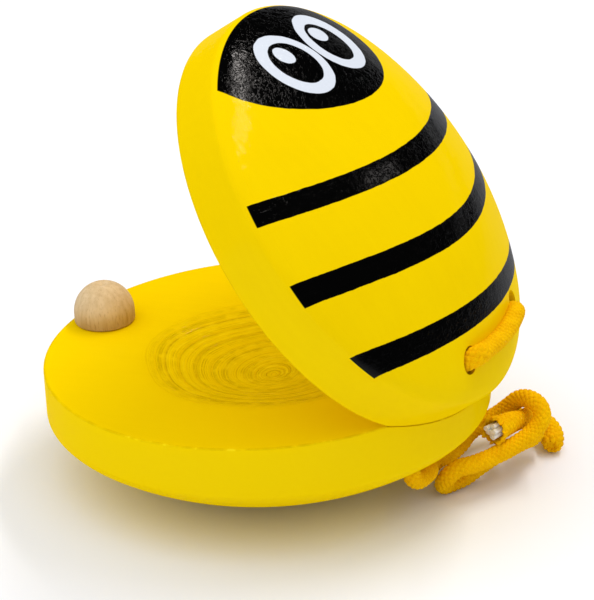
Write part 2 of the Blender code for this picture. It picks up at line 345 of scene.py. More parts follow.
class Shader:
    """A Principled material, laid out in the frame that place gives, and its nodes."""

    def __init__(self, name, roughness, specular, place=Matrix(), **sockets):
        self.material = bpy.data.materials.new(name)
        self.material.use_nodes = True
        self.tree = self.material.node_tree
        self.principled = self.tree.nodes["Principled BSDF"]
        self.principled.inputs["Roughness"].default_value = roughness
        self.principled.inputs["Specular IOR Level"].default_value = specular
        for key, value in sockets.items():
            self.principled.inputs[key.replace("_", " ")].default_value = value
        whole = self.tree.nodes.new("ShaderNodeTexCoord").outputs["Object"]
        node = self.tree.nodes.new("ShaderNodeMapping")
        node.vector_type = "TEXTURE"
        node.inputs["Location"].default_value = place.to_translation()
        node.inputs["Rotation"].default_value = place.to_euler()
        self.link(whole, node.inputs["Vector"])
        self.coordinates = node.outputs[0]

    def link(self, source, target):
        self.tree.links.new(source, target)

    def axes(self):
        node = self.tree.nodes.new("ShaderNodeSeparateXYZ")
        self.link(self.coordinates, node.inputs[0])
        return [Field(self.tree, node.outputs[axis]) for axis in range(3)]

    def stretched(self, scale):
        node = self.tree.nodes.new("ShaderNodeMapping")
        node.inputs["Scale"].default_value = scale
        self.link(self.coordinates, node.inputs["Vector"])
        return node.outputs[0]

    def noise(self, scale, detail=3.0, vector=None, distortion=0.0):
        node = self.tree.nodes.new("ShaderNodeTexNoise")
        node.inputs["Scale"].default_value = scale
        node.inputs["Detail"].default_value = detail
        node.inputs["Distortion"].default_value = distortion
        self.link(vector or self.coordinates, node.inputs["Vector"])
        return Field(self.tree, node.outputs[0])

    def line_noise(self, position, scale, detail=2.0):
        node = self.tree.nodes.new("ShaderNodeTexNoise")
        node.noise_dimensions = "1D"
        node.inputs["Scale"].default_value = scale
        node.inputs["Detail"].default_value = detail
        self.link(position.socket, node.inputs["W"])
        return Field(self.tree, node.outputs[0])

    def mix(self, share, first, second):
        node = self.tree.nodes.new("ShaderNodeMix")
        node.data_type = "RGBA"
        self.link(share.socket, node.inputs["Factor"])
        for key, value in (("A", first), ("B", second)):
            slot = [s for s in node.inputs if s.name == key and s.type == "RGBA"][0]
            if isinstance(value, tuple):
                slot.default_value = value + (1.0,)
            else:
                self.link(value, slot)
        return [s for s in node.outputs if s.type == "RGBA"][0]

    def feed(self, socket, source):
        self.link(getattr(source, "socket", source), self.principled.inputs[socket])

    def bump(self, height, distance, socket="Normal", after=None):
        node = self.tree.nodes.new("ShaderNodeBump")
        node.inputs["Distance"].default_value = distance
        self.link(height.socket, node.inputs["Height"])
        if after is not None:
            self.link(after, node.inputs["Normal"])
        self.feed(socket, node.outputs[0])
        return node.outputs[0]


# Paint and print

YELLOW = (0.91, 0.64, 0.0005)
YELLOW_DEEP = (0.82, 0.55, 0.0005)
# Yellow of the painted shade in the ring grooves and hair lines, and of the rim's darker specks
YELLOW_LINE = (0.6, 0.38, 0.0005)
# Yellow of the painted highlights: the ring glints and the pale bits of the rim
PAINTED_HIGHLIGHT_YELLOW = (0.98, 0.76, 0.012)
BLACK = (0.0012, 0.0012, 0.0012)
WHITE = (0.68, 0.735, 0.82)

# Printed ovals in the clapper's plan: centre, half axes in millimetres, turn
CAP_OVAL = (-2.16, -21.12, 16.61, 9.47, -15.96 * DEG)
EYE_OVALS = [
    ((1.95, -20.67, 5.2, 5.2, 0.0), (1.79, -20.73, 3.57, 3.57, 0.0)),
    ((-9.01, -19.09, 5.64, 5.04, 0.0), (-8.56, -19.12, 3.42, 3.42, 0.0)),
]
EYE_LIGHTS = [(1.92, -22.34, 1.45, 1.45, 0.0), (-8.48, -20.68, 1.79, 1.26, -12.5 * DEG)]

# Stripes: both edges as y = a + b x + c x^2 + d x^3, in millimetres
STRIPE_EDGES = [
    ((-4.1, -0.1472, -0.00689, 0.0), (-0.98, -0.1483, -0.00635, 0.0)),
    ((6.88, -0.1065, -0.00838, 0.00007), (9.96, -0.0958, -0.00801, 0.000058)),
    ((17.39, -0.0939, -0.00573, 0.0), (20.36, -0.0738, -0.00575, 0.0)),
]

# Where the print stops at the arris, in millimetres: height over it, slope, most
PRINT_LIMIT = (-0.2, -0.045, 0.2)
PRINT_SOFTNESS = 0.05
PRINT_RAGGED = 0.2
RAGGED_SCALES = (620.0, 700.0)


def inside_oval(x, y, oval):
    cx, cy, long, short, turn = oval
    dx = x - cx
    dy = y - cy
    along = (dx * math.cos(turn) + dy * math.sin(turn)) / long
    across = (dy * math.cos(turn) - dx * math.sin(turn)) / short
    distance = root(along * along + across * across)
    soft = PRINT_SOFTNESS / short
    return distance.smooth(1.0 + soft, 1.0 - soft)


def print_masks(shader):
    """Black and white shares of the print on the upper clapper's dome."""
    x, y, z = [axis / MM for axis in shader.axes()]
    above = z - y * math.tan(FACE_TILT) - BAND_HEIGHT / MM
    start, slope, most = PRINT_LIMIT
    limit = (y * slope + start).run("MINIMUM", most)
    printed = (above - limit).smooth(-PRINT_SOFTNESS, PRINT_SOFTNESS)
    x = x + shader.noise(RAGGED_SCALES[0]).swing() * PRINT_RAGGED
    y = y + shader.noise(RAGGED_SCALES[1]).swing() * PRINT_RAGGED
    black = inside_oval(x, y, CAP_OVAL)
    for edges in STRIPE_EDGES:
        low, high = [y - (((x * d + c) * x + b) * x + a) for a, b, c, d in edges]
        stripe = low.smooth(-PRINT_SOFTNESS, PRINT_SOFTNESS)
        stripe = stripe * high.smooth(PRINT_SOFTNESS, -PRINT_SOFTNESS)
        black = black.run("MAXIMUM", stripe)
    white = None
    for outer, inner in EYE_OVALS:
        ring = inside_oval(x, y, outer) - inside_oval(x, y, inner)
        white = ring if white is None else white.run("MAXIMUM", ring)
    for light in EYE_LIGHTS:
        white = white.run("MAXIMUM", inside_oval(x, y, light))
    return black * printed, (white * printed).clamped()


def ring_distance(x, y):
    """Size of the off-centre, uneven growth ring through a point, in millimetres."""
    x = x / MM
    y = y / MM
    hx, hy = [value / MM for value in RING_HEART]
    reach = RING_REACH / MM
    qx = x - hx
    qy = y - hy
    out = root(qx * qx + qy * qy)
    slender = smooth_step(out, *SLENDER_RANGE) * (1.0 - RING_SLENDER) + RING_SLENDER
    uneven = smooth_step(out, *WAVER_RANGE)
    waver_x, waver_y = [
        sine(value * WAVER_RATE + phase) * WAVER_HEIGHT
        for value, phase in zip((y, x), WAVER_PHASES)
    ]
    (ax, ay), (by, bx) = RIPPLE_RATES
    ripple_x = sine(x * ax + y * ay) * RIPPLE_HEIGHT
    ripple_y = sine(y * by - x * bx) * RIPPLE_HEIGHT
    qx = qx * slender + (waver_x + ripple_x) * uneven
    qy = qy + (waver_y + ripple_y) * uneven
    ex = hx / reach
    ey = (hy - DISH_OFFSET / MM) / reach
    along = qx * ex + qy * ey
    span = 1.0 - ex * ex - ey * ey
    return (along + root(along * along + (qx * qx + qy * qy) * span)) / span


def ring_grooves(distance):
    total = None
    for size, width, depth in RINGS:
        groove = smooth_step(size_of(distance - size), width, 0.0) * depth
        total = groove if total is None else total + groove
    return total


# Paint: noise scales are cells per metre, and shades say how strongly a mark colours
PAINT_ROUGHNESS = 0.6
COAT_ROUGHNESS = 0.07
CLOUD_SCALE = 95.0
FINE_SCALE = 2600.0
STREAK_SCALE = 900.0
STREAK_STRETCH = (1.0, 0.09, 1.0)
TONE_SHARES = (0.5, 0.35)
TONE_MIDDLE = 0.2
# Painted shade: share per millimetre along X by which the plain face's yellow turns deeper
PAINTED_SHADE_SLOPE = 0.018
FACE_LEVEL = (DISH_DEPTH + 0.25 * MM, DISH_DEPTH + 0.1 * MM)

# Growth rings in the hollow: grooves and dark hair lines, painted darker as painted shade in
# their recesses, and pale glints, painted highlights along them
PATCH_SCALE = 240.0
PATCH_RANGE = (0.3, 0.62)
PATCH_SHARES = (0.5, 0.5)
BROKEN_SCALE = 700.0
BROKEN_RANGE = (0.36, 0.56)
HAIR_SCALE = 3.2
HAIR_WIDTH = 0.045
HAIR_SHARES = (0.7, 0.3)
# Pale glints on the ring relief, a painted highlight
GLINT_SHIFT = 7.3
GLINT_SCALE = 2.2
GLINT_WIDTH = 0.04
GLINT_SHARES = (-0.8, 1.0)
GROOVE_PAINTED_SHADE = 0.4
HAIR_PAINTED_SHADE = 0.5
GLINT_SHADE = 0.5

# Rim of the flat face: darker specks, and a broken pale line that is a painted highlight on its
# rounded edge
RIM_SPAN = (DISC_RADIUS - 0.4 * MM, DISC_RADIUS - 0.2 * MM)
RIM_LEVEL = (0.3 * MM, 0.15 * MM)
RIM_SPECK_SCALE = 480.0
DARK_RANGE = (0.7, 0.35)
DARK_SHADE = 0.4
RIM_HIGHLIGHT_RANGE = (0.58, 0.66)
RIM_HIGHLIGHT_SHARE = 0.8

# Relief of the wood under the coat, and of the coat and the print on it
SKIN_DISTANCE = 0.07 * MM
SKIN_HAIR = 0.4
SKIN_STREAK = 0.15
COAT_DISTANCE = 0.03 * MM
COAT_STREAK = 0.3
COAT_FINE = 0.05
PEEL_SCALE = 640.0
PEEL_STRETCH = (1.0, 0.7, 1.0)
PEEL_HEIGHT = 2.3
PEEL_INK = 0.9
WEB_SCALE = 1100.0
WEB_DISTORTION = 1.2
WEB_WIDTH = 0.09
WEB_HEIGHT = 0.4
INK_HEIGHT = 0.6
GLOSS = 0.04
GLOSS_BLACK = 0.16


def paint(name, place, printed, side):
    """Paint on turned wood; side is the sign of X that the growth rings use."""
    shader = Shader(name, PAINT_ROUGHNESS, 0.0, place, Coat_Roughness=COAT_ROUGHNESS)
    cloud = shader.noise(CLOUD_SCALE)
    fine = shader.noise(FINE_SCALE, detail=2.0)
    streak = shader.noise(STREAK_SCALE, detail=4.0, vector=shader.stretched(STREAK_STRETCH))
    x, y, z = shader.axes()
    distance = ring_distance(x * side, y)
    hollow = distance.smooth(*RING_FADE) * z.smooth(*FACE_LEVEL)
    patch = shader.noise(PATCH_SCALE, detail=2.0).smooth(*PATCH_RANGE)
    grooves = ring_grooves(distance) * hollow * (patch * PATCH_SHARES[0] + PATCH_SHARES[1])
    broken = shader.noise(BROKEN_SCALE).smooth(*BROKEN_RANGE)
    hairs = size_of(shader.line_noise(distance, HAIR_SCALE, detail=3.0).swing())
    hairs = hairs.smooth(HAIR_WIDTH, 0.0) * hollow * (broken * HAIR_SHARES[0] + HAIR_SHARES[1])
    glints = size_of(shader.line_noise(distance + GLINT_SHIFT, GLINT_SCALE).swing())
    glints = glints.smooth(GLINT_WIDTH, 0.0) * hollow
    glints = glints * (broken * GLINT_SHARES[0] + GLINT_SHARES[1])
    tone = cloud.swing() * TONE_SHARES[0] + streak.swing() * TONE_SHARES[1] + TONE_MIDDLE
    # Painted light and shade: the plain clapper's face is painted deeper along X, for how the
    # light falls over it
    if not printed:
        tone = tone + x / MM * PAINTED_SHADE_SLOPE
    color = shader.mix(tone.clamped(), YELLOW, YELLOW_DEEP)
    # Painted shade: the recessed ring grooves and hair lines are painted darker
    lines = (grooves * GROOVE_PAINTED_SHADE + hairs * HAIR_PAINTED_SHADE).clamped()
    color = shader.mix(lines, color, YELLOW_LINE)
    # Painted highlight: pale glints along the rings
    color = shader.mix(glints * GLINT_SHADE, color, PAINTED_HIGHLIGHT_YELLOW)
    rim = root(x * x + y * y).smooth(*RIM_SPAN) * z.smooth(*RIM_LEVEL)
    rim_specks = shader.noise(RIM_SPECK_SCALE, detail=4.0)
    # Rim of the flat face: darker specks, and pale bits painted as a highlight on its rounded
    # edge
    color = shader.mix(rim * rim_specks.smooth(*DARK_RANGE) * DARK_SHADE, color, YELLOW_LINE)
    color = shader.mix(rim * rim_specks.smooth(*RIM_HIGHLIGHT_RANGE) * RIM_HIGHLIGHT_SHARE, color, PAINTED_HIGHLIGHT_YELLOW)
    peel = shader.noise(PEEL_SCALE, detail=1.0, vector=shader.stretched(PEEL_STRETCH))
    height = streak * COAT_STREAK + fine * COAT_FINE + peel * PEEL_HEIGHT
    gloss = cloud.swing() * GLOSS + GLOSS
    if printed:
        black, white = print_masks(shader)
        color = shader.mix(black, color, BLACK)
        color = shader.mix(white, color, WHITE)
        ink = black.run("MAXIMUM", white)
        web = size_of(shader.noise(WEB_SCALE, detail=2.0, distortion=WEB_DISTORTION).swing())
        height = height + web.smooth(0.0, WEB_WIDTH) * ink * WEB_HEIGHT + ink * INK_HEIGHT
        height = height - peel * ink * PEEL_INK
        gloss = gloss + black * GLOSS_BLACK
    shader.feed("Base Color", color)
    shader.feed("Coat Weight", gloss)
    relief = (grooves + hairs * SKIN_HAIR) * -1.0 + streak * SKIN_STREAK
    skin = shader.bump(relief, SKIN_DISTANCE)
    shader.bump(height, COAT_DISTANCE, socket="Coat Normal", after=skin)
    return shader.material


# Bare beech of the knocker
BEECH_PALE = (0.75, 0.565, 0.33)
BEECH_BROWN = (0.47, 0.3, 0.11)
BEECH_FLECK = (0.33, 0.17, 0.05)
# Shares of grain, cloud and the foot's painted shade in the beech's tone
BEECH_SHARES = (1.1, 0.7, 0.6)
BEECH_MIDDLE = 0.25
BEECH_CLOUD_SCALE = 330.0
GRAIN_SCALE = 1500.0
GRAIN_STRETCH = (1.0, 1.0, 0.12)
GRAIN_HEIGHT = 0.7
FLECK_SCALE = 5200.0
FLECK_STRETCH = (1.0, 1.0, 0.16)
FLECK_RANGE = (0.56, 0.72)
FLECK_SHARES = (0.5, 0.25)
FLECK_HEIGHT = 0.5
# Painted shade: band above the foot over which the beech is painted browner, with more flecks
FOOT_SHADE_RANGE = (3.2 * MM, 0.2 * MM)
FINE_DISTANCE = 0.03 * MM


def bare_wood(place):
    shader = Shader("bare_beech", roughness=0.62, specular=0.25, place=place)
    grain = shader.noise(GRAIN_SCALE, detail=4.0, vector=shader.stretched(GRAIN_STRETCH))
    cloud = shader.noise(BEECH_CLOUD_SCALE)
    flecks = shader.noise(FLECK_SCALE, detail=2.0, vector=shader.stretched(FLECK_STRETCH))
    # Painted shade: browner towards the foot, where the knocker stands on the face; the flecks
    # grow there too
    low = shader.axes()[2].smooth(*FOOT_SHADE_RANGE)
    of_grain, of_cloud, of_foot_shade = BEECH_SHARES
    tone = grain.swing() * of_grain + cloud.swing() * of_cloud + low * of_foot_shade + BEECH_MIDDLE
    color = shader.mix(tone.clamped(), BEECH_PALE, BEECH_BROWN)
    dark = flecks.smooth(*FLECK_RANGE) * (low * FLECK_SHARES[0] + FLECK_SHARES[1])
    color = shader.mix(dark, color, BEECH_FLECK)
    shader.feed("Base Color", color)
    shader.bump(grain * GRAIN_HEIGHT + flecks * FLECK_HEIGHT, FINE_DISTANCE)
    return shader.material


# Sheath and threads of the elastic
ORANGE = (1.0, 0.61, 0.001)
ORANGE_DEEP = (0.74, 0.33, 0.0005)
TEXTILE_CLOUD_SCALE = 420.0
TEXTILE_THREAD_SCALE = 5200.0
TEXTILE_SHARES = (0.9, 0.9)
TEXTILE_MIDDLE = 0.4
TEXTILE_DISTANCE = 0.04 * MM
RUBBER_WHITE = (0.93, 0.92, 0.88)
RUBBER_SHADE = (0.78, 0.75, 0.66)
RUBBER_SCALE = 2300.0
RUBBER_RANGE = (0.35, 0.7)


def textile():
    shader = Shader("braided_textile", roughness=0.8, specular=0.02)
    cloud = shader.noise(TEXTILE_CLOUD_SCALE)
    thread = shader.noise(TEXTILE_THREAD_SCALE)
    of_cloud, of_thread = TEXTILE_SHARES
    tone = cloud.swing() * of_cloud + thread.swing() * of_thread + TEXTILE_MIDDLE
    shader.feed("Base Color", shader.mix(tone.clamped(), ORANGE, ORANGE_DEEP))
    shader.bump(thread, TEXTILE_DISTANCE)
    return shader.material


def rubber():
    shader = Shader("white_rubber", roughness=0.45, specular=0.3)
    cloud = shader.noise(RUBBER_SCALE, detail=2.0)
    color = shader.mix(cloud.smooth(*RUBBER_RANGE), RUBBER_WHITE, RUBBER_SHADE)
    shader.feed("Base Color", color)
    shader.bump(cloud, FINE_DISTANCE)
    return shader.material


# Mesh helpers

CLAPPER_SHARP = 24.0 * DEG
PIECE_SHARP = 60.0 * DEG


def place_mesh(name, data, material, matrix, sharp):
    data.transform(matrix)
    data.validate()
    data.shade_smooth()
    data.set_sharp_from_angle(angle=sharp)
    data.materials.append(material)
    item = bpy.data.objects.new(name, data)
    bpy.context.collection.objects.link(item)
    return item


def mesh_object(name, verts, faces, material, matrix=Matrix()):
    data = bpy.data.meshes.new(name)
    data.from_pydata([tuple(v) for v in verts], [], faces)
    return place_mesh(name, data, material, matrix, PIECE_SHARP)


def turned_mesh(rings, segments):
    """Closed mesh of rings of (radius, height, tilt share, sideways shift)."""
    angles = np.linspace(0.0, TURN, segments, endpoint=False)
    verts = [(0.0, rings[0][3], rings[0][1])]
    for radius, height, tilt, shift in rings[1:-1]:
        xs = radius * np.cos(angles)
        ys = radius * np.sin(angles) + shift
        zs = height + tilt * math.tan(FACE_TILT) * ys
        verts += list(zip(xs, ys, zs))
    verts.append((0.0, 0.0, rings[-1][1]))
    faces = []
    count = len(rings) - 2
    last = 1 + (count - 1) * segments
    for index in range(segments):
        after = (index + 1) % segments
        faces.append((0, 1 + after, 1 + index))
        faces.append((last + index, last + after, len(verts) - 1))
    for ring in range(count - 1):
        low = 1 + ring * segments
        high = low + segments
        for index in range(segments):
            after = (index + 1) % segments
            faces.append((low + index, low + after, high + after, high + index))
    return verts, faces


def crown_height(radius):
    share = min(radius / DISC_RADIUS, 1.0)
    return BAND_HEIGHT + CROWN_HEIGHT * (1.0 - share * share) ** CROWN_SHARE


def dome_height(x, y):
    return crown_height(math.hypot(x, y)) + math.tan(FACE_TILT) * y


# Clappers

DISH_RINGS = 90
FACE_RINGS = 12
EDGE_RINGS = 6
DOME_RINGS = 60
CLAPPER_SEGMENTS = 288
DRILL_SEGMENTS = 64


def clapper_rings():
    """Profile from the hollow's middle over the rim, the band and the dome."""
    rings = [(0.0, DISH_DEPTH, 0.0, DISH_OFFSET)]
    for step in range(1, DISH_RINGS + 1):
        share = step / DISH_RINGS
        depth = DISH_DEPTH * (1.0 - share * share) ** DISH_SHARE
        rings.append((DISH_RADIUS * share, depth, 0.0, DISH_OFFSET))
    rim = DISC_RADIUS - RIM_EDGE
    for step in range(1, FACE_RINGS + 1):
        share = step / FACE_RINGS
        radius = DISH_RADIUS + (rim - DISH_RADIUS) * share
        rings.append((radius, 0.0, 0.0, DISH_OFFSET * (1.0 - share)))
    for step in range(1, EDGE_RINGS + 1):
        angle = QUARTER * step / EDGE_RINGS
        height = RIM_EDGE * (1.0 - math.cos(angle))
        rings.append((rim + RIM_EDGE * math.sin(angle), height, 0.0, 0.0))
    high = BAND_HEIGHT - ARRIS_RADIUS / 2.0
    for step in range(1, EDGE_RINGS + 1):
        share = step / EDGE_RINGS
        rings.append((DISC_RADIUS, RIM_EDGE + (high - RIM_EDGE) * share, share, 0.0))
    inner = DISC_RADIUS - ARRIS_RADIUS
    corner = np.array((DISC_RADIUS, BAND_HEIGHT))
    start = np.array((DISC_RADIUS, high))
    end = np.array((inner, crown_height(inner)))
    for step in range(1, EDGE_RINGS + 1):
        share = step / EDGE_RINGS
        up = start + (corner - start) * share
        over = corner + (end - corner) * share
        radius, height = up + (over - up) * share
        rings.append((radius, height, 1.0, 0.0))
    for step in range(1, DOME_RINGS):
        radius = inner * math.cos(QUARTER * step / DOME_RINGS)
        rings.append((radius, crown_height(radius), 1.0, 0.0))
    rings.append((0.0, crown_height(0.0), 1.0, 0.0))
    return rings


def drill(foot, mouth):
    """Long round cutter along the line of one hole."""
    axis = (mouth - foot).normalized()
    turn = axis.to_track_quat("Z", "Y").to_matrix().to_4x4()
    mesh = bmesh.new()
    bmesh.ops.create_cone(
        mesh,
        cap_ends=True,
        segments=DRILL_SEGMENTS,
        radius1=HOLE_DIAMETER / 2.0,
        radius2=HOLE_DIAMETER / 2.0,
        depth=DRILL_DEPTH,
        matrix=Matrix.Translation(foot) @ turn,
    )
    data = bpy.data.meshes.new("drill")
    mesh.to_mesh(data)
    mesh.free()
    item = bpy.data.objects.new("drill", data)
    bpy.context.collection.objects.link(item)
    return item


def clapper(name, matrix, material, side, wander):
    verts, faces = turned_mesh(clapper_rings(), CLAPPER_SEGMENTS)
    points = np.array(verts)
    x, y = points[:, 0], points[:, 1]
    distance = ring_distance(x * side, y)
    edge = smooth_step(distance, *RING_FADE)
    hollow = points[:, 2] < DISH_DEPTH + RIM_EDGE
    points[:, 2] += RING_RELIEF * ring_grooves(distance) * edge * hollow
    mesh = bmesh.new()
    for point in points:
        mesh.verts.new(point)
    mesh.verts.ensure_lookup_table()
    for face in faces:
        mesh.faces.new([mesh.verts[index] for index in face])
    bevel = OPEN_ANGLE / 2.0
    normal = Vector((0.0, math.sin(bevel), -math.cos(bevel)))
    ridge = Vector((0.0, RIDGE_OFFSET, 0.0))
    cut = bmesh.ops.bisect_plane(
        mesh,
        geom=mesh.verts[:] + mesh.edges[:] + mesh.faces[:],
        dist=SEAT_GAP / 2.0,
        plane_co=ridge - normal * SEAT_GAP / 2.0,
        plane_no=normal,
        clear_outer=True,
    )
    edges = [item for item in cut["geom_cut"] if isinstance(item, bmesh.types.BMEdge)]
    bmesh.ops.contextual_create(mesh, geom=edges)
    bmesh.ops.recalc_face_normals(mesh, faces=mesh.faces)
    blank_data = bpy.data.meshes.new(name)
    mesh.to_mesh(blank_data)
    mesh.free()
    blank = bpy.data.objects.new(name + "_blank", blank_data)
    bpy.context.collection.objects.link(blank)
    spent = [blank]
    for sign, shift in ((1.0, 0.0), (-1.0, wander)):
        foot = Vector((sign * HOLE_SPACING / 2.0, HOLE_OFFSET, END_INSET))
        mouth = foot + Vector((shift, 0.0, dome_height(foot.x, foot.y) - END_INSET))
        modifier = blank.modifiers.new("hole", "BOOLEAN")
        modifier.operation = "DIFFERENCE"
        modifier.solver = "EXACT"
        modifier.object = drill(foot, mouth)
        spent.append(modifier.object)
    graph = bpy.context.evaluated_depsgraph_get()
    data = bpy.data.meshes.new_from_object(blank.evaluated_get(graph))
    for item in spent:
        bpy.data.objects.remove(item, do_unlink=True)
    data.materials.clear()
    return place_mesh(name, data, material, matrix, CLAPPER_SHARP)


# Knocker


def knocker(material):
    waist = KNOCKER_HEIGHT - KNOCKER_RADIUS
    rings = [(0.0, KNOCKER_FOOT, 0.0, 0.0)]
    for step in range(KNOCKER_EDGE_RINGS + 1):
        angle = QUARTER * step / KNOCKER_EDGE_RINGS
        radius = KNOCKER_RADIUS - KNOCKER_EDGE * (1.0 - math.sin(angle))
        height = KNOCKER_FOOT + KNOCKER_EDGE * (1.0 - math.cos(angle))
        rings.append((radius, height, 0.0, 0.0))
    foot = rings[-1][1]
    for step in range(1, KNOCKER_WALL_RINGS + 1):
        height = foot + (waist - foot) * step / KNOCKER_WALL_RINGS
        rings.append((KNOCKER_RADIUS, height, 0.0, 0.0))
    for step in range(1, KNOCKER_CROWN_RINGS):
        angle = QUARTER * step / KNOCKER_CROWN_RINGS
        radius = KNOCKER_RADIUS * math.cos(angle)
        dimple = DIMPLE_DEPTH * math.exp(-((radius / DIMPLE_RADIUS) ** 2))
        rings.append((radius, waist + KNOCKER_RADIUS * math.sin(angle) - dimple, 0.0, 0.0))
    rings.append((0.0, KNOCKER_HEIGHT - DIMPLE_DEPTH, 0.0, 0.0))
    verts, faces = turned_mesh(rings, KNOCKER_SEGMENTS)
    return mesh_object("knocker_plug", verts, faces, material, KNOCKER_FRAME)


# Routes of the elastic

ROUTE_STEP = 0.1 * MM
CURVE_STEPS = 24
SOFTENING = np.hanning(11)[1:-1]
SOFTENING_PASSES = 3
LEAST_CROSS = 0.1
HINGE_RUN = 2.0 * MM


def curve_points(points):
    """Centripetal curve through given points."""
    points = [Vector(p) for p in points]
    ends = [points[0] * 2.0 - points[1]] + points + [points[-1] * 2.0 - points[-2]]
    fine = []
    for a, b, c, d in zip(ends, ends[1:], ends[2:], ends[3:]):
        t1 = math.sqrt((b - a).length)
        t2 = t1 + math.sqrt((c - b).length)
        t3 = t2 + math.sqrt((d - c).length)
        for index in range(CURVE_STEPS):
            t = t1 + (t2 - t1) * index / CURVE_STEPS
            ab = a.lerp(b, t / t1)
            bc = b.lerp(c, (t - t1) / (t2 - t1))
            cd = c.lerp(d, (t - t2) / (t3 - t2))
            abc = ab.lerp(bc, t / t2)
            bcd = bc.lerp(cd, (t - t1) / (t3 - t1))
            fine.append(abc.lerp(bcd, (t - t1) / (t2 - t1)))
    fine.append(points[-1])
    return np.array([tuple(p) for p in fine])


def travel_along(route):
    steps = np.linalg.norm(np.diff(route, axis=0), axis=1)
    return np.concatenate([[0.0], np.cumsum(steps)])


def smooth_route(points):
    """The curve in even short steps, softened where it bends."""
    fine = curve_points(points)
    travel = travel_along(fine)
    even = np.linspace(0.0, travel[-1], int(travel[-1] / ROUTE_STEP))
    route = np.stack([np.interp(even, travel, fine[:, axis]) for axis in range(3)], axis=1)
    kernel = SOFTENING / SOFTENING.sum()
    half = len(kernel) // 2
    for _ in range(SOFTENING_PASSES):
        padded = np.pad(route, ((half, half), (0, 0)), mode="edge")
        columns = [np.convolve(padded[:, axis], kernel, mode="valid") for axis in range(3)]
        soft = np.stack(columns, axis=1)
        soft[0] = route[0]
        soft[-1] = route[-1]
        route = soft
    return route


def unit(rows):
    return rows / np.linalg.norm(rows, axis=-1, keepdims=True)


def route_frames(route):
    """Tangent, normal and side at each point, without twist."""
    tangent = unit(np.gradient(route, axis=0))
    normal = np.zeros_like(route)
    start = np.cross(tangent[0], (0.0, 0.0, 1.0))
    if np.linalg.norm(start) < LEAST_CROSS:
        start = np.cross(tangent[0], (0.0, 1.0, 0.0))
    normal[0] = unit(start)
    for index in range(1, len(route)):
        drift = np.dot(normal[index - 1], tangent[index])
        normal[index] = unit(normal[index - 1] - tangent[index] * drift)
    return tangent, normal, np.cross(tangent, normal)


def tail_route(side, points):
    """Out of the lower clapper's hole, then along the free points."""
    x = -side * HOLE_SPACING / 2.0
    heights = (
        END_INSET,
        END_INSET + ELASTIC_DIAMETER,
        dome_height(x, HOLE_OFFSET) - ELASTIC_DIAMETER,
    )
    inside = [LOWER @ Vector((x, HOLE_OFFSET, height)) for height in heights]
    return inside + [Vector(point) * MM for point in points]


def hinge_route(side):
    """Across the ridge, out of the lower hole and into the upper one."""
    x = side * HOLE_SPACING / 2.0
    deep = END_INSET + HINGE_RUN
    low = [LOWER @ Vector((-x, HOLE_OFFSET, height)) for height in (deep, END_INSET)]
    high = [UPPER @ Vector((x, HOLE_OFFSET, height)) for height in (END_INSET, deep)]
    return low + high


# Braid and threads


class Tubes:
    """Closed tubes of oval section, gathered in one mesh."""

    def __init__(self):
        self.verts = []
        self.faces = []

    def add(self, centres, radials, sides, half_width, half_height, corners):
        first = len(self.verts)
        angles = np.linspace(0.0, TURN, corners, endpoint=False)
        across = sides[:, None] * (half_width * np.cos(angles))[None, :, None]
        out = radials[:, None] * (half_height * np.sin(angles))[None, :, None]
        self.verts += list((centres[:, None] + across + out).reshape(-1, 3))
        rows = len(centres)
        for row in range(rows - 1):
            low = first + row * corners
            high = low + corners
            for corner in range(corners):
                after = (corner + 1) % corners
                self.faces.append((low + corner, low + after, high + after, high + corner))
        end = first + (rows - 1) * corners
        self.faces.append(tuple(range(first + corners - 1, first - 1, -1)))
        self.faces.append(tuple(range(end, end + corners)))


def hump(travel, middle, reach):
    return np.clip(1.0 - ((travel - middle) / reach) ** 2, 0.0, 1.0) ** 2


def braid(name, route, material, seed, swells=(), fray=0.0, slant=0.0, closing=0.0):
    """Round braided elastic: strands that wind both ways round a core."""
    rng = np.random.default_rng(seed)
    _, normal, side = route_frames(route)
    travel = travel_along(route)
    total = travel[-1]
    base = ELASTIC_DIAMETER / 2.0 - STRAND_HEIGHT - BRAID_WAVE
    thick = np.ones_like(travel)
    for middle, reach, share in swells:
        thick += share * hump(travel, middle, reach)
    if closing:
        thick -= closing * hump(travel, total, CLOSING_REACH)
    lift = BRAID_WAVE * np.cos(TURN * BRAID_STRANDS * travel / BRAID_PITCH)
    width = STRAND_WIDTH * thick.mean()
    tubes = Tubes()
    for direction in (1.0, -1.0):
        for strand in range(BRAID_STRANDS):
            turn = TURN * (strand / BRAID_STRANDS + direction * travel / BRAID_PITCH)
            radial = np.cos(turn)[:, None] * normal + np.sin(turn)[:, None] * side
            centres = route + (base * thick + direction * lift)[:, None] * radial
            facing = max(np.dot(radial[-1], CUT_SIDE), -CUT_TURN) + CUT_TURN
            short = fray * rng.uniform(0.0, 1.0) + slant * facing
            stop = np.searchsorted(travel, total - short) + 1
            ahead = np.gradient(centres, axis=0)
            across = unit(np.cross(ahead, radial))
            rows = (centres[:stop], radial[:stop], across[:stop])
            tubes.add(*rows, width, STRAND_HEIGHT, STRAND_CORNERS)
    trim = int(max(fray + slant, ROUTE_STEP) / ROUTE_STEP)
    core = base - BRAID_WAVE
    tubes.add(route[:-trim], normal[:-trim], side[:-trim], core, core, CORE_CORNERS)
    return mesh_object(name, tubes.verts, tubes.faces, material)


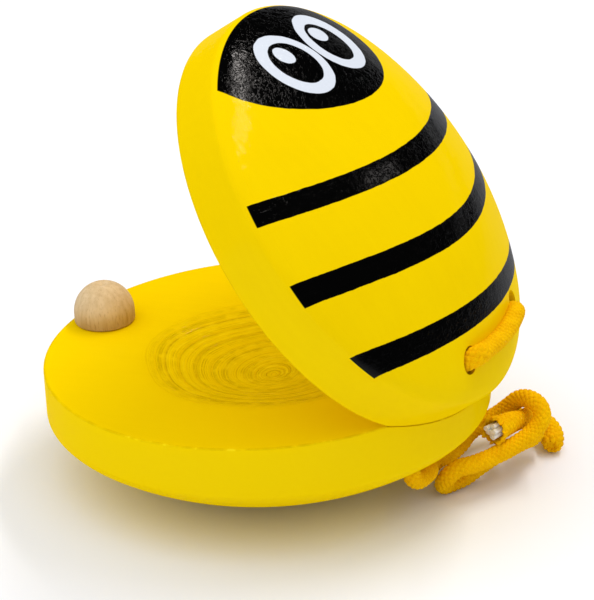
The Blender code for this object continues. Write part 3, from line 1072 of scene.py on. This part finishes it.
def rubber_threads(name, route, material, seed):
    """White rubber threads at a cut end of the elastic, one in the middle of a ring."""
    rng = np.random.default_rng(seed)
    tangent, normal, side = [rows[-1] for rows in route_frames(route)]
    places = [np.zeros(2)]
    for index in range(OUTER_THREADS):
        angle = TURN * index / OUTER_THREADS + THREAD_START
        places.append(THREAD_RING * np.array((math.cos(angle), math.sin(angle))))
    tubes = Tubes()
    shares = np.linspace(0.0, 1.0, THREAD_STEPS)[:, None]
    for place in places:
        a, b = place + rng.uniform(-THREAD_STRAY, THREAD_STRAY, 2)
        long = THREAD_DEPTH + THREAD_REACH + rng.uniform(-THREAD_SPREAD, THREAD_SPREAD)
        lean = normal * rng.uniform(-THREAD_LEAN, THREAD_LEAN)
        lean = lean + side * rng.uniform(-THREAD_LEAN, THREAD_LEAN)
        start = route[-1] - tangent * THREAD_DEPTH + normal * a + side * b
        centres = start + tangent * long * shares + lean * shares**2
        rows = np.ones_like(shares)
        size = rng.uniform(*THREAD_RADII)
        tubes.add(centres, rows * normal, rows * side, size, size, THREAD_CORNERS)
    return mesh_object(name, tubes.verts, tubes.faces, material)


# Pieces

yellow_plain = paint("gloss_yellow", LOWER, False, -1.0)
yellow_printed = paint("gloss_yellow_printed", UPPER, True, 1.0)
beech = bare_wood(KNOCKER_FRAME)
orange_textile = textile()
white_rubber = rubber()

lower = clapper("lower_clapper_turned", LOWER, yellow_plain, -1.0, 0.0)
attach(lower, "lower_half")
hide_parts("lower_clapper")

upper = clapper("upper_clapper_turned", UPPER, yellow_printed, 1.0, DRILL_WANDER)
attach(upper, "upper_half")
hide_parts("upper_clapper")

plug = knocker(beech)
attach(plug, "lower_half")
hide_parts("knocker")

loop_route = smooth_route([UPPER @ (Vector(point) * MM) for point in LOOP_POINTS])
loop = braid("elastic_loop_braid", loop_route, orange_textile, seed=3, swells=[MOUTH_SWELL])
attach(loop, "upper_half")
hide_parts("elastic_loop")

for label, side in (("near", 1.0), ("far", -1.0)):
    route = smooth_route(hinge_route(side))
    piece = braid("elastic_hinge_" + label, route, orange_textile, seed=5)
    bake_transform(piece)

near_route = smooth_route(tail_route(1.0, NEAR_TAIL_POINTS))
near_length = travel_along(near_route)[-1]
near = braid(
    "elastic_tail_near_braid",
    near_route,
    orange_textile,
    seed=7,
    swells=[(near_length, reach, share) for reach, share in NEAR_SWELLS],
    fray=NEAR_FRAY,
    slant=NEAR_SLANT,
)
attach(near, "lower_half")
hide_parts("elastic_tail_near")

threads = rubber_threads("rubber_threads_near", near_route, white_rubber, seed=11)
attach(threads, "lower_half")

far_route = smooth_route(tail_route(-1.0, FAR_TAIL_POINTS))
far_length = travel_along(far_route)[-1]
far = braid(
    "elastic_tail_far_braid",
    far_route,
    orange_textile,
    seed=9,
    swells=[(far_length, reach, share) for reach, share in FAR_SWELLS],
    closing=FAR_CLOSING,
)
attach(far, "lower_half")
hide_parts("elastic_tail_far")

for tail, route, side, extras in ((near, near_route, 1.0, [threads]), (far, far_route, -1.0, [])):
    x = -side * HOLE_SPACING / 2.0
    tuple(LOWER @ Vector((x, HOLE_OFFSET, dome_height(x, HOLE_OFFSET))))

# Floor, world, lights and camera

FLOOR_REACH = 3.0
FLOOR_COLORS = ((0.9, 0.92, 0.97), (0.88, 0.9, 0.95))
FLOOR_CLOUD_SCALE = 3.0

# Where the floor turns dim for what the gloss mirrors, and its colour there
DIM_RANGE = (0.03, 0.17)
DIM_COLOR = (0.03, 0.03, 0.03)

# Light of the room: from all round, from above and from in front
ROOM_LEVEL = 0.15
TOP_LEVEL = 0.78
FRONT_LEVEL = 0.5
FRONT_SIDE = Vector((0.75, -0.45, 0.48)).normalized()
SOFT_RANGE = (-0.1, 1.0)

# White wall that the gloss mirrors: its height and its side, in parts of a direction
WALL_TOP = (0.1, 0.0)
WALL_SIDE = (-0.72, -0.97)

# Lamps: direction from the hinge, long axis, distance, size and power
SOFTBOX = ((-0.42, 0.2, 0.88), (0.63, 0.34, 0.2), 0.9, (0.7, 0.05), 2.8)
BACK_REFLECTOR = ((-0.63, 0.61, 0.47), (0.24, 0.11, 0.16), 1.2, (0.35, 0.06), 0.25)
LAMP_COLOR = (1.0, 0.94, 0.9)


def floor():
    shader = Shader("pale_floor", roughness=0.9, specular=0.0)
    color = shader.mix(shader.noise(FLOOR_CLOUD_SCALE), *FLOOR_COLORS)
    path = shader.tree.nodes.new("ShaderNodeLightPath")
    glossy = Field(shader.tree, path.outputs["Is Glossy Ray"])
    dim = shader.axes()[1].smooth(*DIM_RANGE) * glossy
    shader.feed("Base Color", shader.mix(dim, color, DIM_COLOR))
    data = bpy.data.meshes.new("pale_floor")
    corners = [(-1, -1), (1, -1), (1, 1), (-1, 1)]
    verts = [(a * FLOOR_REACH, b * FLOOR_REACH, 0.0) for a, b in corners]
    data.from_pydata(verts, [], [range(4)])
    data.materials.append(shader.material)
    item = bpy.data.objects.new("pale_floor", data)
    bpy.context.collection.objects.link(item)


def studio_world():
    """White where the camera sees it, a low white wall in the gloss, soft light elsewhere."""
    item = bpy.data.worlds.new("studio")
    bpy.context.scene.world = item
    item.use_nodes = True
    item.cycles.sampling_method = "NONE"
    tree = item.node_tree
    background = tree.nodes["Background"]
    background.inputs["Color"].default_value = (1.0, 1.0, 1.0, 1.0)
    path = tree.nodes.new("ShaderNodeLightPath")
    camera = Field(tree, path.outputs["Is Camera Ray"])
    glossy = Field(tree, path.outputs["Is Glossy Ray"])
    transmission = Field(tree, path.outputs["Is Transmission Ray"])
    place = tree.nodes.new("ShaderNodeTexCoord")
    axes = tree.nodes.new("ShaderNodeSeparateXYZ")
    tree.links.new(place.outputs["Generated"], axes.inputs[0])
    x, y, z = [Field(tree, axes.outputs[axis]) for axis in range(3)]
    facing = x * FRONT_SIDE.x + y * FRONT_SIDE.y + z * FRONT_SIDE.z
    soft = facing.smooth(*SOFT_RANGE) * FRONT_LEVEL + z.smooth(*SOFT_RANGE) * TOP_LEVEL
    soft = soft + ROOM_LEVEL
    seen = camera.run("MAXIMUM", transmission)
    other = (seen + glossy - 1.0).run("ABSOLUTE")
    wall = z.smooth(*WALL_TOP) * x.smooth(*WALL_SIDE)
    strength = seen + glossy * wall + other * soft
    tree.links.new(strength.socket, background.inputs["Strength"])


def area_light(name, direction, long_axis, distance, size, energy):
    data = bpy.data.lights.new(name, "AREA")
    data.shape = "RECTANGLE"
    data.size, data.size_y = size
    data.energy = energy
    data.color = LAMP_COLOR
    item = bpy.data.objects.new(name, data)
    bpy.context.collection.objects.link(item)
    ray = Vector(direction).normalized()
    across = ray.cross(Vector(long_axis)).normalized()
    along = across.cross(ray)
    turn = Matrix((along, across, ray)).transposed().to_4x4()
    item.matrix_world = Matrix.Translation(ray * distance + hinge) @ turn


def camera():
    data = bpy.data.cameras.new("photo_view")
    data.lens = CAMERA_LENS
    data.sensor_width = CAMERA_SENSOR
    data.clip_end = CAMERA_CLIP
    item = bpy.data.objects.new("photo_view", data)
    bpy.context.collection.objects.link(item)
    item.location = CAMERA_TARGET + CAMERA_BACK * CAMERA_DISTANCE
    item.rotation_euler = CAMERA_BACK.to_track_quat("Z", "Y").to_euler()
    bpy.context.scene.camera = item


floor()
studio_world()
area_light("softbox", *SOFTBOX)
area_light("back_reflector", *BACK_REFLECTOR)
camera()

bpy.context.scene.view_settings.view_transform = "Standard"
